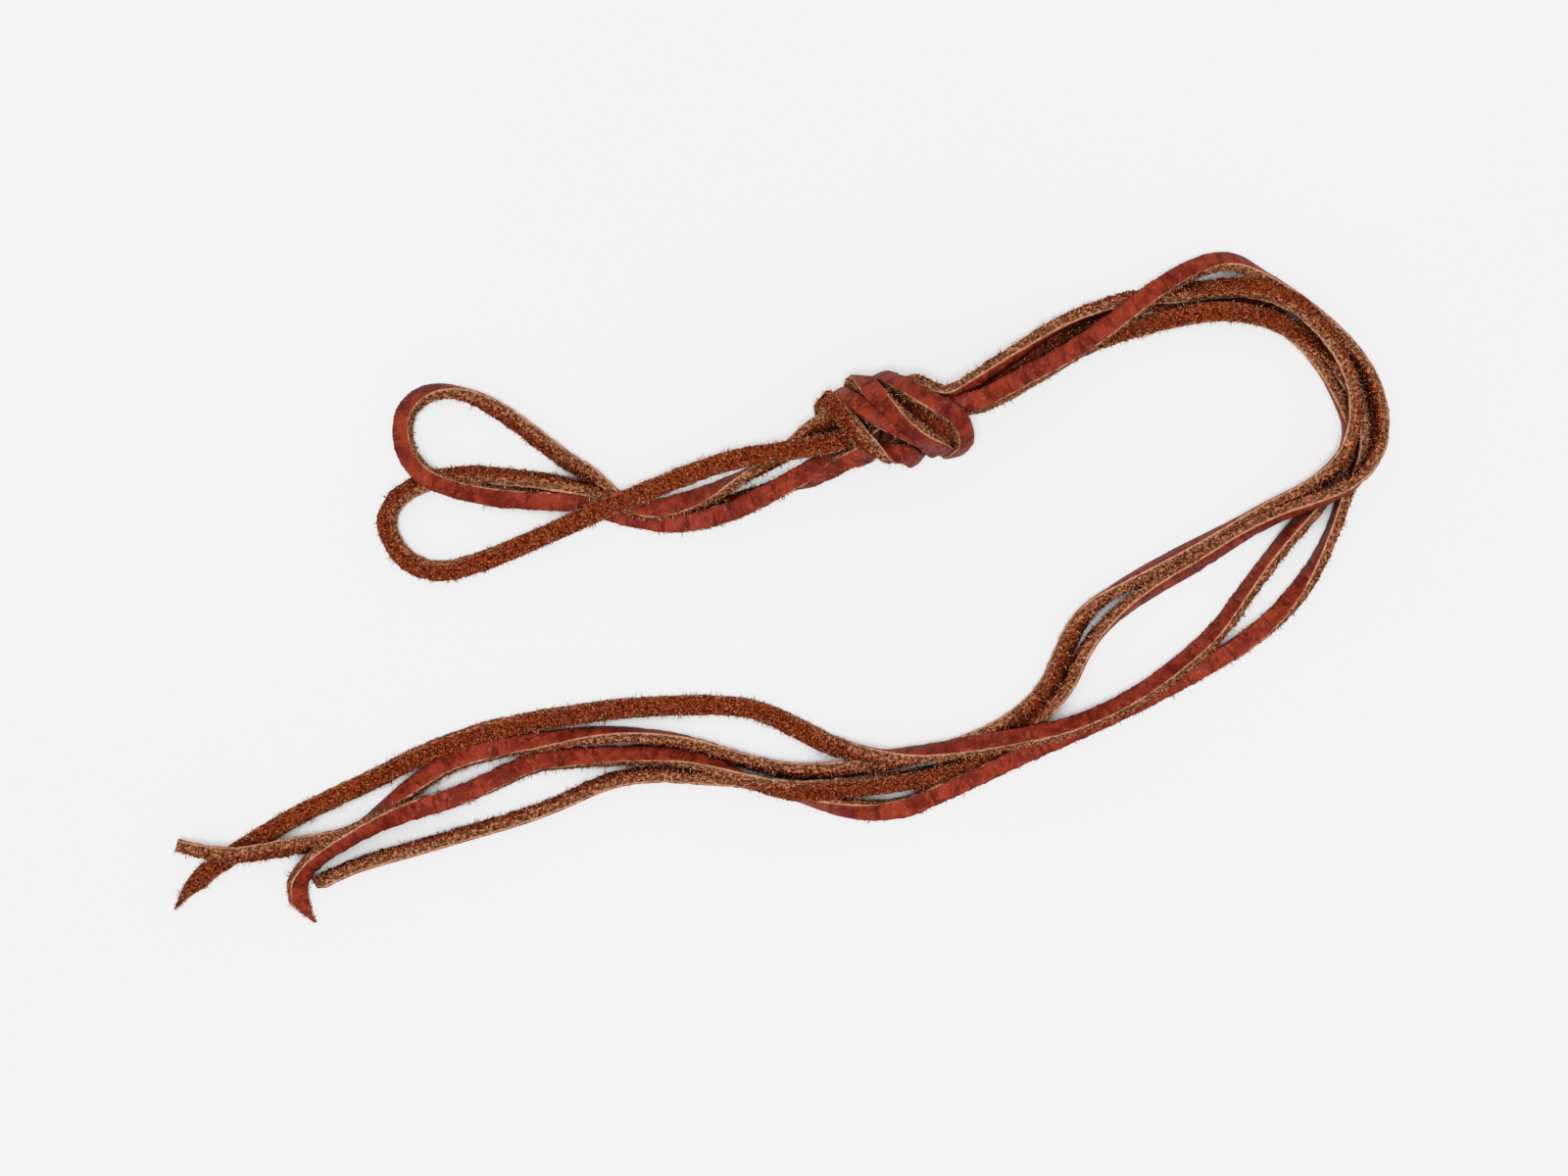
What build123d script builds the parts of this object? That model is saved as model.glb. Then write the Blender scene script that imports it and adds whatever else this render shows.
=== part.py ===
from build123d import *
import math
import os

os.makedirs("parts", exist_ok=True)

# Two flat leather laces, each folded in half and tied together by one overhand
# knot.  Millimetres, +Z up, lying on z = 0, centred on the bounding box.
# Every solid is a plain round tube along one stretch of a lace.

TUBE = 2.3              # stands for the flat strip, which is 3.1 wide and 1.9 thick
CORNER_SHARE = 0.45     # part of the shorter run that each side of an arc takes

# The overhand knot, in its own frame: u along its axis, v across, w up.
KNOT_CENTRE = (18.4, 27.4, 8.15)
KNOT_TURN = 20                        # degrees from +X to the knot's axis
LANE_ACROSS = (4.0, 1.33, -1.33, -4.0)    # the four strands where they enter the core
LANE_UP = 1.62
CORE_HALF = 9.0                       # half the length of the straight core
WRAP_START = (-4.5, -1.5, 1.5, 4.5)   # u of each strand at the top of its wrap
WRAP_PITCH = 4.4 / 90                 # travel along the axis for one degree of wrap
WRAP_RADIUS = 7.47
WRAP_ANGLES = (190, 150, 105)

# How each strand turns back at the right end of the core, in (u, v, w).
TURN_BACK = (
    ((2.9, -0.8, -5.4), (3.1, -3.9, -6.2), (1.6, -6.7, -3.4)),
    ((6.9, -0.3, -4.4), (7.6, -2.9, -6.1), (6.0, -5.9, -4.6)),
    ((8.2, 1.6, -1.4), (10.2, 0.6, -3.6), (10.9, -2.2, -5.6), (9.3, -5.4, -5.2)),
    ((8.8, 4.2, -1.4), (11.8, 3.2, -2.6), (13.5, 0.6, -4.0), (13.6, -2.6, -5.6),
     (11.9, -5.6, -5.0)),
)
# Where each strand runs inside the core before it turns back.
CORE_STOPS = ((-9.0, -4.5, 0.0), (-9.0, -4.5, 0.0, 4.5), (-9.0, -4.5, 0.0, 4.5),
              (-9.0, -4.5, 0.0, 4.5))

# Routes that lie free.  Each tail runs from the knot to its cut end, and each
# bight from the strand that leaves the knot first to the one that comes back.
LACE_1_TAIL_A = [
    (29.3, 35.4, 8.8), (36.3, 38.4, 6.4), (44, 42.5, 3.4), (51, 46.3, 1.7),
    (57.2, 47.5, 1.3), (62.9, 47.5, 1.8), (68.8, 48.1, 2.8), (75, 48.1, 3.9),
    (80.9, 46.1, 4.3), (85.4, 42.4, 4.4), (88.8, 37.6, 4.5), (90.5, 32.5, 4.6),
    (90.8, 27.4, 4.6), (89.6, 22.7, 4.5), (86.8, 19.1, 4.1), (82.5, 16.5, 3.2),
    (76.6, 14, 1.9), (68.8, 9.8, 1.3), (61.1, 5.8, 1.15), (53.3, 1.9, 1.15),
    (48.4, -1.2, 1.15), (45.6, -5.8, 1.15), (43.7, -10.8, 1.15), (41.2, -15.4, 1.15),
    (37, -19.5, 1.15), (31.6, -22.2, 1.15), (25.4, -24.7, 1.15), (18.4, -26.6, 1.15),
    (9.9, -27.4, 1.15), (1.4, -27.7, 1.15), (-6.4, -25.7, 1.15), (-14.1, -23.5, 1.15),
    (-21.9, -22.4, 1.15), (-29.6, -22.4, 1.15), (-37.4, -23.6, 1.15), (-45.1, -25.2, 1.15),
    (-52.1, -27, 1.15), (-57.5, -29.5, 1.15), (-62.6, -33.1, 1.15), (-67.6, -36.5, 1.15),
    (-73, -39.1, 1.3), (-79.2, -40.5, 2.4), (-85.4, -41.6, 3.9), (-90.5, -41, 3.6),
    (-95.5, -39.6, 2.2),
]
LACE_1_BIGHT = [
    (5, 26.4, 8.2), (1.1, 22.1, 5.2), (-3.3, 19.6, 4), (-9, 17, 2.8),
    (-15.7, 15.9, 1.9), (-21.9, 16.4, 1.3), (-28.1, 18.4, 1.15), (-33.8, 21.2, 1.15),
    (-39.7, 25.3, 1.15), (-45.4, 29.7, 1.15), (-51.3, 32.2, 1.15), (-56.7, 31.9, 1.15),
    (-60.3, 28, 1.15), (-60.1, 22.7, 1.6), (-57, 18.5, 3.9), (-53.3, 16.7, 4.1),
    (-46.7, 14.8, 2.2), (-38.9, 14.3, 1.3), (-31.2, 13.9, 1.15), (-24.2, 11.5, 1.15),
    (-16.4, 10.2, 1.4), (-8.7, 11.9, 2.6), (-2.5, 15, 4.3), (2.5, 18.2, 6.2),
    (6.7, 21.3, 8.8),
]
LACE_1_TAIL_B = [
    (31, 30.3, 8), (36.6, 32.8, 5.6), (41.9, 35.1, 4.2), (47.1, 37.6, 3.1),
    (53.3, 40.4, 2.6), (59.5, 42.5, 3.6), (65.7, 43.9, 4.1), (72.2, 44.3, 4),
    (78.1, 43, 3.8), (83.1, 40.7, 2.2), (87.1, 37.6, 1.3), (90.2, 33.2, 1.15),
    (92.2, 28.6, 1.15), (92.5, 23.9, 1.15), (91.5, 19.3, 1.15), (89.7, 15.3, 1.15),
    (88.2, 10.6, 1.15), (85.9, 5.7, 1.15), (82.5, 0.5, 1.15), (78.1, -4.3, 1.15),
    (72.2, -8.8, 1.15), (65.7, -12.5, 1.15), (58.7, -16.4, 1.15), (51.8, -20.1, 1.15),
    (44.8, -23.3, 1.15), (37.8, -26.9, 1.15), (31.6, -29.7, 1.15), (25.4, -32.6, 1.15),
    (18.4, -34.5, 1.15), (10.7, -34.3, 1.15), (2.9, -32.2, 1.15), (-4.8, -30.1, 1.15),
    (-12.6, -29.2, 1.15), (-20.3, -28.6, 1.15), (-27.3, -29.7, 1.15), (-34.3, -33.1, 1.15),
    (-41.2, -35.7, 1.15), (-49, -37.9, 1.15), (-56.7, -40.2, 1.15), (-63.7, -42.1, 1.15),
    (-69.1, -43.9, 1.15), (-73.5, -46.3, 1.15),
]
LACE_2_TAIL_A = [
    (30.5, 32.6, 9.8), (37, 34.6, 8), (46.3, 38.4, 6), (53.3, 43.2, 5.2),
    (59.8, 48.1, 4.6), (66, 51.8, 3), (71.6, 53.1, 1.5), (76.9, 50.3, 1.15),
    (82.8, 46, 1.15), (88.7, 41, 1.15), (93, 35.6, 1.15), (95.3, 30.1, 1.15),
    (95.6, 24.7, 1.5), (94.2, 20.2, 3), (90.5, 16.4, 3.9), (85.1, 13.9, 4.1),
    (78.9, 11.9, 3.4), (72.7, 8.9, 2), (66, 5.2, 1.3), (59.5, 1.5, 1.15),
    (54.2, -2.1, 1.15), (49.9, -5.8, 1.15), (47.7, -10.5, 1.15), (45.9, -15.1, 1.15),
    (42.5, -19.1, 1.15), (38.8, -22.6, 1.15), (34.4, -25.2, 1.15), (27, -28, 1.3),
    (18.4, -29.8, 1.6), (9.9, -30.6, 2.8), (2.5, -31.1, 3.9), (-4, -29.8, 4),
    (-10.5, -27.2, 3.2), (-16.4, -25.8, 1.8), (-24.2, -25.7, 1.15), (-31.9, -26.3, 1.15),
    (-38.9, -27, 1.15), (-45.1, -30, 1.3), (-51.8, -32.6, 1.9), (-58.3, -34.2, 3),
    (-64.2, -36.5, 4), (-69.9, -39.8, 3.6), (-74.1, -42.5, 1.9), (-76.3, -45.8, 1.15),
    (-76.1, -49.2, 1.15), (-73.8, -52.6, 1.15),
]
LACE_2_BIGHT = [
    (5.7, 24.1, 9.9), (0.3, 22.9, 8.7), (-6.4, 21.8, 6.6), (-14.1, 19.5, 5.2),
    (-21.1, 16.2, 4.2), (-27.6, 13.3, 4), (-34.3, 10.2, 3.6), (-41.2, 7.2, 2.4),
    (-48.2, 4.3, 1.5), (-54.4, 2.9, 1.15), (-59.8, 5.3, 1.15), (-62.6, 10.3, 1.15),
    (-61.1, 15, 1.15), (-56, 17.9, 1.15), (-49.8, 19.1, 1.15), (-42.8, 18.7, 1.15),
    (-35.8, 17.7, 1.15), (-28.8, 16, 1.15), (-21.9, 13.7, 1.15), (-14.1, 13.3, 1.15),
    (-6.4, 15.1, 1.15), (-0.5, 15.9, 1.4), (4, 16.5, 4), (7.8, 18.5, 7.8),
]
LACE_2_TAIL_B = [
    (31.2, 27.7, 6.6), (35, 30, 4), (38.8, 34.2, 2.1), (42.5, 38.2, 1.4),
    (47.4, 41.8, 1.3), (52.5, 43.8, 1.15), (58, 44.3, 1.15), (64.2, 44.6, 1.15),
    (71.1, 44.3, 1.15), (76.6, 42.9, 1.15), (81.2, 39.1, 1.15), (85.2, 34.8, 1.15),
    (88.3, 30.5, 1.15), (89.9, 26.1, 1.15), (89.1, 21.2, 1.15), (87, 16.8, 1.15),
    (84, 13.1, 1.15), (80, 8.4, 1.15), (76.1, 3.5, 1.15), (72.4, -1.5, 1.15),
    (68.5, -6.3, 1.6), (63.4, -10.5, 2.7), (57.7, -14.6, 3.3), (51, -18.5, 3.6),
    (44, -21.2, 3.9), (36.3, -23, 4.1), (28.5, -24.6, 4), (20.8, -25.7, 3.9),
    (13.8, -25.5, 3.6), (8.4, -23.9, 1.8), (2.9, -21.3, 1.15), (-3.3, -18.4, 1.15),
    (-10.2, -17.7, 1.15), (-18, -17.9, 1.15), (-25.7, -18.4, 1.15), (-33.5, -19.5, 1.15),
    (-41.2, -20.8, 1.15), (-49, -22.7, 1.15), (-56.7, -25.7, 1.15), (-64.5, -29.8, 1.15),
    (-72.2, -33.2, 1.15), (-79.2, -36.8, 1.15), (-85.7, -41, 1.15), (-90.4, -44.1, 1.15),
    (-93.2, -47.4, 1.15), (-94.9, -50.8, 1.15),
]


def from_knot_frame(point):
    u, v, w = point
    cos_turn = math.cos(math.radians(KNOT_TURN))
    sin_turn = math.sin(math.radians(KNOT_TURN))
    x = KNOT_CENTRE[0] + u * cos_turn - v * sin_turn
    y = KNOT_CENTRE[1] + u * sin_turn + v * cos_turn
    return (x, y, KNOT_CENTRE[2] + w)


def core_point(lane, u):
    """A strand's first pass through the core, which twists half a turn as it goes."""
    twist = math.radians(-90 * (1 + u / CORE_HALF))
    v = LANE_ACROSS[lane] * math.cos(twist) - LANE_UP * math.sin(twist)
    w = LANE_ACROSS[lane] * math.sin(twist) + LANE_UP * math.cos(twist)
    return (u, v, w)


def wrap_point(lane, degrees):
    """A strand's place on the turn around the core: 90 is the top."""
    u = WRAP_START[lane] + WRAP_PITCH * (degrees - 90)
    angle = math.radians(degrees)
    return (u, WRAP_RADIUS * math.cos(angle), WRAP_RADIUS * math.sin(angle))


def first_half(lane):
    points = [core_point(lane, u) for u in CORE_STOPS[lane]]
    points += TURN_BACK[lane]
    points += [wrap_point(lane, degrees) for degrees in WRAP_ANGLES]
    return points


def knot_strand(lane):
    """One strand's way through the knot, from its left side to its right.

    The knot is the same after half a turn about +W, which swaps lane 0 with
    lane 3 and lane 1 with lane 2.
    """
    points = first_half(lane)
    points += [(-u, -v, w) for u, v, w in reversed(first_half(3 - lane))]
    return [from_knot_frame(point) for point in points]


def corner_radii(points):
    radii = []
    for before, corner, after in zip(points, points[1:], points[2:]):
        run_in = Vector(*corner) - Vector(*before)
        run_out = Vector(*after) - Vector(*corner)
        half_turn = math.radians(run_in.get_angle(run_out)) / 2
        shorter = min(run_in.length, run_out.length)
        radii.append(CORNER_SHARE * shorter / math.tan(half_turn))
    return radii


def middle(first, second):
    return tuple((a + b) / 2 for a, b in zip(first, second))


def make_tube(name, points, radii):
    path = FilletPolyline(*points, radius=radii)
    tube = sweep(Plane(path @ 0, z_dir=path % 0) * Circle(TUBE / 2), path=path)
    section_times_length = math.pi * TUBE**2 / 4 * path.length
    tube.label = name
    export_step(tube, f"parts/{name}.step")
    low = tube.bounding_box().min.Z
    print(f"{name}: length {path.length:.1f}, radii {min(radii):.1f} to {max(radii):.1f},"
          f" under 3 tubes {sum(r < 3 * TUBE for r in radii)},"
          f" volume ratio {tube.volume / section_times_length:.4f},"
          f" valid {tube.is_valid}, lowest {low:.3f}")
    return path.length


def make_lace(name, pieces):
    """Tubes for the named pieces of one lace, which meet at the middle of a run."""
    route = [point for _, points in pieces for point in points]
    radii = corner_radii(route)
    total = 0.0
    start = 0
    for piece, points in pieces:
        end = start + len(points)
        stretch = route[start:end]
        first_corner = max(start, 1)
        last_corner = min(end, len(route) - 1)
        if start > 0:
            stretch = [middle(route[start - 1], route[start])] + stretch
        if end < len(route):
            stretch = stretch + [middle(route[end - 1], route[end])]
        stretch_radii = radii[first_corner - 1:last_corner - 1]
        total += make_tube(f"{name}_{piece}", stretch, stretch_radii)
        start = end
    print(f"{name}: {total:.1f} long in all")


make_lace("lace_1", [
    ("tail_a", LACE_1_TAIL_A[::-1]),
    ("knot_a", knot_strand(0)[::-1]),
    ("bight", LACE_1_BIGHT),
    ("knot_b", knot_strand(2)),
    ("tail_b", LACE_1_TAIL_B),
])
make_lace("lace_2", [
    ("tail_a", LACE_2_TAIL_A[::-1]),
    ("knot_a", knot_strand(1)[::-1]),
    ("bight", LACE_2_BIGHT),
    ("knot_b", knot_strand(3)),
    ("tail_b", LACE_2_TAIL_B),
])
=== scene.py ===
import math

import bpy
import numpy as np
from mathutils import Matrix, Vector


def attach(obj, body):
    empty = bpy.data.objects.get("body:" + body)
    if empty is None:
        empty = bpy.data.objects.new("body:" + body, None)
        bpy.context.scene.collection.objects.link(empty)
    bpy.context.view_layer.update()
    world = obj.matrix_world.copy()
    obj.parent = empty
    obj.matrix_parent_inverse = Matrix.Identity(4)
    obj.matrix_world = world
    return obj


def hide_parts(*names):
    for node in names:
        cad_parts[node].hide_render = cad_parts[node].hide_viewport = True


# Two flat leather laces, each folded in half and tied together by one overhand
# knot, lying loose on a pale floor.  Metres, in the frame of the CAD.

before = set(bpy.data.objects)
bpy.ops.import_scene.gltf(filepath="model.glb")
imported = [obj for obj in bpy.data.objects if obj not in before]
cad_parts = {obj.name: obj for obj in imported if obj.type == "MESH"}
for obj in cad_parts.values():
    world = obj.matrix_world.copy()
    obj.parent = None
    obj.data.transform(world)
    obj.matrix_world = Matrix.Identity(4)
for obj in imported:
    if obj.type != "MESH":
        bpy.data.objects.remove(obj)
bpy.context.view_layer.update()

# The strip that both laces are cut from.
WIDTH = 0.0030
THICKNESS = 0.0019
CROWN = 0.00006             # how far the middle of the grain stands proud
STEPS_PER_RUN = 24          # points read from the smooth line for each point of a route
LOWEST = 0.00002            # nothing of the laces goes below this, just over the floor
MAP_PER_METRE = 100         # the map of the strip is in centimetres
MM2_PER_M2 = 1e6

# Half of the strip's section, from the middle of the grain to the middle of the
# flesh: (across, up) as shares of half the width and half the thickness.
HALF_OUTLINE = [
    (0.0, 1.0), (0.26, 1.0), (0.52, 0.99), (0.76, 0.97), (0.91, 0.92), (0.975, 0.80),
    (1.0, 0.58), (0.99, 0.22), (0.97, -0.2), (0.94, -0.62), (0.88, -0.88),
    (0.68, -0.99), (0.34, -1.0), (0.0, -1.0),
]
GRAIN_POINTS = 6            # of the half outline, the last one on the rim
EDGE_POINTS = 5

# Where the skin changes, measured round the section from the middle of the grain.
GRAIN_END = WIDTH / 2 * 0.95
FLESH_START = WIDTH / 2 + THICKNESS * 0.9

# Roughness of the cut leather: how far it stands out, the spacing of its waves
# along the lace, and the share of a finer roughness on top of them.
EDGE_ROUGHNESS = (0.00015, 0.0011, 0.6)
FLESH_ROUGHNESS = (0.0002, 0.0007, 0.8)

# Shallow folds pressed across the grain.
CREASE_DEPTH = 0.0003       # of the deepest
CREASE_SHARE = (0.3, 1.0)   # of that depth, from least to most
CREASE_SPACING = (0.0006, 0.0026)
CREASE_DRAW = 0.0014        # one is drawn for each of this length, more than will fit
CREASE_BREADTH = (0.0003, 0.0007)
CREASE_SLANT = 0.35         # at most, to either side
CREASE_REACH = 0.003        # beyond this, along the lace, a fold has no depth
CREASE_MIDDLE = 0.8         # how far from the middle of the grain a fold can have its own
CREASE_FADE = 0.9           # how far across the grain a fold fades out
WORKED_SPACING = 0.018      # of the worked lengths, which have the deeper folds
WORKED = (0.45, 0.9, 0.12)  # share of a fold's depth: the usual, its swing, the least

# The nap on the flesh side and the cut edges: a dense pile of short straight
# fibres, and fewer long bent ones, the strays.  Fibres for each square
# millimetre, their radius and their usual length.
PILE = (6.4, 0.00008, 0.00030)
STRAYS = (3.1, 0.00007, 0.00044)
LONGEST_FIBRE = 0.0012
FIBRE_GAMMA = 2.6           # shape of the spread of the lengths
FIBRE_RADII = (0.6, 1.5)    # from thin to thick, as shares of the radius
FIBRE_LEAN = 0.55           # how far the fibres lean away from straight out
LEAST_RISE = 0.15           # a fibre that leans further than this stands straight out
FIBRE_ROOT = 0.0001         # how deep a fibre starts in the leather
STRAY_BEND = 0.6            # how far a stray's outer part turns away
STRAY_KNEE = (0.55, 0.75)   # where a stray bends, and how thick it is there
TUFTS = (3.5, 0.6)          # spacing in rings and swing of the fibres' length
DYE_SHARES = (0.36, 0.46, 0.18)

# Where the fibres are, from 0 at the rim of the grain to 1 at the flesh's corner.
PILE_LEAST = 0.15           # the pile thins out to this share towards the grain
STRAY_CORNER = (0.9, 0.3)   # the strays crowd here, this far to either side
STRAYS_ELSEWHERE = 0.1

# The bands of the cut edge, in centimetres from the rim on the map of the strip:
# where each one starts, and how far that wanders.
CORE_START = (0.022, 0.042)
FUZZ_START = (0.095, 0.150)
BAND_WANDER = 0.035

# Painted shade: each look is darkened in the gaps between strands, where shade falls, by how open
# each point is to its neighbours. How far away a neighbour counts, then the openness at which it is
# darkest and at which it is itself.
PAINTED_SHADE_SAMPLES = 6
LEATHER_PAINTED_SHADE = (0.005, 0.2, 0.7)
EDGE_PAINTED_SHADE = (0.005, 0.15, 0.6)
PILE_PAINTED_SHADE = (0.005, 0.12, 0.5)
STRAY_PAINTED_SHADE = (0.005, 0.06, 0.32)
FLOOR_PAINTED_SHADE = (0.01, 0.12, 0.32)

# The view of the floor from straight above, and the light.
VIEW_WIDTH = 0.248
VIEW_CENTRE = (0.0006, 0.0007)
LENS_MM = 135
SENSOR_MM = 36
FLOOR_HALF = 1.5
FLOOR_GREYS = (0.375, 0.385)
# A painted glow of the floor itself, which lifts the shadows that fall on it.
FLOOR_GLOW = 0.50
SUN_FROM = (-0.03, -0.07, 1.0)
SUN_SPREAD_DEGREES = 14
SUN_STRENGTH = 2.50
SKY_STRENGTH = 0.26

# Where the knot's own frame lies, and how far it is turned from the CAD's.
KNOT_CENTRE = (0.0184, 0.0274, 0.00815)
KNOT_TURN = math.radians(20)

# Free routes, (x, y, z, roll).  Roll is in degrees: 0 has the grain up, and more
# than 0 has it turned to the left of the way that the list runs.
LACE_1_TAIL_A = [
    (0.0295, 0.0325, 0.0096, -56), (0.0332, 0.0351, 0.0085, -62), (0.0372, 0.0377, 0.0072, -68),
    (0.044, 0.0424, 0.0048, -86), (0.0508, 0.0453, 0.0032, -98), (0.0572, 0.0466, 0.0024, -112),
    (0.0629, 0.047, 0.0026, -125), (0.0688, 0.048, 0.003, -145), (0.075, 0.0481, 0.0039, -150),
    (0.0808, 0.046, 0.0046, -140), (0.0849, 0.0422, 0.0052, -120), (0.0883, 0.0373, 0.0054, -105),
    (0.0902, 0.0323, 0.0054, -100), (0.0905, 0.0274, 0.0054, -100), (0.0894, 0.0227, 0.0052, -105),
    (0.0868, 0.0191, 0.0044, -110), (0.0828, 0.016, 0.0032, -110), (0.0769, 0.0134, 0.0023, -100),
    (0.0691, 0.0091, 0.0017, -80), (0.0615, 0.0052, 0.0015, -72), (0.0539, 0.001, 0.0015, -80),
    (0.0491, -0.0021, 0.0015, -105), (0.0459, -0.0063, 0.0013, -130),
    (0.0442, -0.0112, 0.0013, -140), (0.0418, -0.0159, 0.0013, -145),
    (0.0374, -0.0202, 0.0013, -140), (0.0319, -0.0229, 0.0015, -120),
    (0.0256, -0.025, 0.0015, -110), (0.0184, -0.0267, 0.0015, -105),
    (0.0099, -0.028, 0.0015, -112), (0.0014, -0.0284, 0.0015, -116),
    (-0.0064, -0.0263, 0.0015, -104), (-0.0141, -0.0235, 0.0015, -90),
    (-0.0219, -0.0224, 0.0015, -80), (-0.0296, -0.0224, 0.00145, -64),
    (-0.0374, -0.0236, 0.0013, -40), (-0.0451, -0.0247, 0.00115, -24),
    (-0.0521, -0.0267, 0.00115, -25), (-0.0573, -0.0301, 0.00115, -32),
    (-0.0622, -0.0342, 0.0013, -62), (-0.0674, -0.0379, 0.0015, -95),
    (-0.073, -0.0394, 0.0016, -114), (-0.0792, -0.0405, 0.0026, -122),
    (-0.0854, -0.0415, 0.0039, -114), (-0.0905, -0.041, 0.0036, -104),
    (-0.0947, -0.0399, 0.0024, -94),
]
LACE_1_BIGHT = [
    (0.005, 0.0257, 0.008, -140), (0.0011, 0.0219, 0.0054, -115), (-0.0033, 0.0196, 0.004, -95),
    (-0.0074, 0.0174, 0.003, -72), (-0.0113, 0.0153, 0.0025, -46), (-0.0153, 0.014, 0.0034, -18),
    (-0.0192, 0.0131, 0.0032, -16), (-0.0229, 0.0133, 0.0024, -26), (-0.0262, 0.0154, 0.0016, -98),
    (-0.0299, 0.0187, 0.0015, -114), (-0.0338, 0.0208, 0.0015, -118),
    (-0.0395, 0.0252, 0.0015, -122), (-0.0454, 0.0295, 0.0015, -115),
    (-0.0512, 0.032, 0.0015, -85), (-0.0564, 0.0315, 0.0014, -55), (-0.0597, 0.028, 0.0013, -40),
    (-0.0595, 0.0227, 0.0018, -32), (-0.0567, 0.0188, 0.0036, -30), (-0.0532, 0.017, 0.0041, -30),
    (-0.0467, 0.0153, 0.0026, -28), (-0.0389, 0.0146, 0.0014, -25), (-0.0313, 0.0145, 0.0012, -20),
    (-0.0242, 0.012, 0.0012, -10), (-0.0164, 0.0106, 0.0018, 0), (-0.0087, 0.0122, 0.0034, 5),
    (-0.0022, 0.0153, 0.0046, 5), (0.0029, 0.0181, 0.0062, 8), (0.0073, 0.0207, 0.0076, 10),
]
LACE_1_TAIL_B = [
    (0.0319, 0.0298, 0.0066, -165), (0.0374, 0.0328, 0.0052, -168), (0.0426, 0.0359, 0.0042, -170),
    (0.0477, 0.039, 0.0031, -172), (0.0533, 0.041, 0.0026, -180), (0.0595, 0.0427, 0.0034, -180),
    (0.0657, 0.0441, 0.0039, -180), (0.0722, 0.0444, 0.0039, -180), (0.0781, 0.0429, 0.0036, -178),
    (0.0829, 0.0404, 0.0024, -165), (0.087, 0.0371, 0.0016, -135), (0.0899, 0.0329, 0.0016, -105),
    (0.0918, 0.0284, 0.0016, -90), (0.0921, 0.0241, 0.0016, -80), (0.091, 0.0195, 0.0016, -72),
    (0.0891, 0.0154, 0.0015, -80), (0.0876, 0.0106, 0.0015, -80), (0.0854, 0.0057, 0.0015, -72),
    (0.0822, 0.0005, 0.0014, -48), (0.078, -0.0043, 0.0013, -22), (0.0722, -0.0088, 0.00115, -5),
    (0.0657, -0.0125, 0.00115, 0), (0.0587, -0.0162, 0.00115, 5), (0.0518, -0.0196, 0.00115, 10),
    (0.0446, -0.0227, 0.00115, 15), (0.0375, -0.0258, 0.00115, 20), (0.0313, -0.0288, 0.00115, 22),
    (0.0251, -0.0317, 0.00115, 22), (0.0184, -0.0345, 0.00115, 22), (0.0107, -0.0343, 0.0014, 45),
    (0.0029, -0.032, 0.0015, 82), (-0.0048, -0.0298, 0.0015, 102), (-0.0126, -0.0291, 0.0015, 108),
    (-0.0203, -0.0286, 0.0015, 110), (-0.0273, -0.0297, 0.0015, 108),
    (-0.0343, -0.0331, 0.0015, 104), (-0.0412, -0.0357, 0.0015, 104),
    (-0.049, -0.0379, 0.0015, 104), (-0.0567, -0.0402, 0.0015, 104),
    (-0.0637, -0.0421, 0.0015, 104), (-0.0691, -0.0439, 0.0015, 100),
    (-0.0735, -0.0463, 0.0015, 105),
]
LACE_2_TAIL_A = [
    (0.0316, 0.0301, 0.0098, 15), (0.0375, 0.0334, 0.008, 12), (0.0465, 0.0381, 0.006, 12),
    (0.0533, 0.043, 0.0052, 20), (0.0598, 0.048, 0.0046, 25), (0.0657, 0.0514, 0.0036, 35),
    (0.0713, 0.0526, 0.0026, 55), (0.0766, 0.0497, 0.0017, 90), (0.0825, 0.0456, 0.0016, 100),
    (0.0882, 0.0407, 0.0016, 105), (0.0924, 0.0353, 0.0017, 118), (0.0944, 0.03, 0.0018, 130),
    (0.0947, 0.0247, 0.0024, 126), (0.0933, 0.0205, 0.0036, 104), (0.0901, 0.0168, 0.0048, 84),
    (0.0849, 0.0145, 0.0052, 74), (0.0787, 0.0125, 0.0044, 72), (0.0725, 0.0092, 0.003, 64),
    (0.0663, 0.005, 0.0021, 60), (0.0601, 0.0015, 0.0017, 62), (0.055, -0.0019, 0.0015, 74),
    (0.0507, -0.0057, 0.0015, 88), (0.0476, -0.01, 0.0015, 98), (0.0456, -0.0148, 0.0015, 98),
    (0.042, -0.0185, 0.0015, 112), (0.0384, -0.0222, 0.0014, 140), (0.0344, -0.0258, 0.0013, 180),
    (0.027, -0.0284, 0.0014, 200), (0.0184, -0.03, 0.0017, 205), (0.0099, -0.0309, 0.0028, 208),
    (0.0025, -0.0315, 0.0039, 220), (-0.004, -0.0301, 0.004, 255), (-0.0105, -0.0272, 0.0032, 300),
    (-0.0164, -0.0258, 0.0019, 318), (-0.0242, -0.0257, 0.0014, 322),
    (-0.0319, -0.0261, 0.00125, 338), (-0.0389, -0.0267, 0.00115, 342),
    (-0.0451, -0.0297, 0.0014, 345), (-0.0518, -0.0326, 0.0022, 356),
    (-0.0583, -0.0342, 0.0032, 382), (-0.0642, -0.0365, 0.0041, 402),
    (-0.0699, -0.0396, 0.0036, 412), (-0.0741, -0.0425, 0.0022, 412),
    (-0.0764, -0.0456, 0.0014, 404), (-0.0761, -0.0481, 0.00125, 386),
    (-0.0756, -0.0505, 0.00115, 365), (-0.0749, -0.0526, 0.00115, 360),
]
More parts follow.
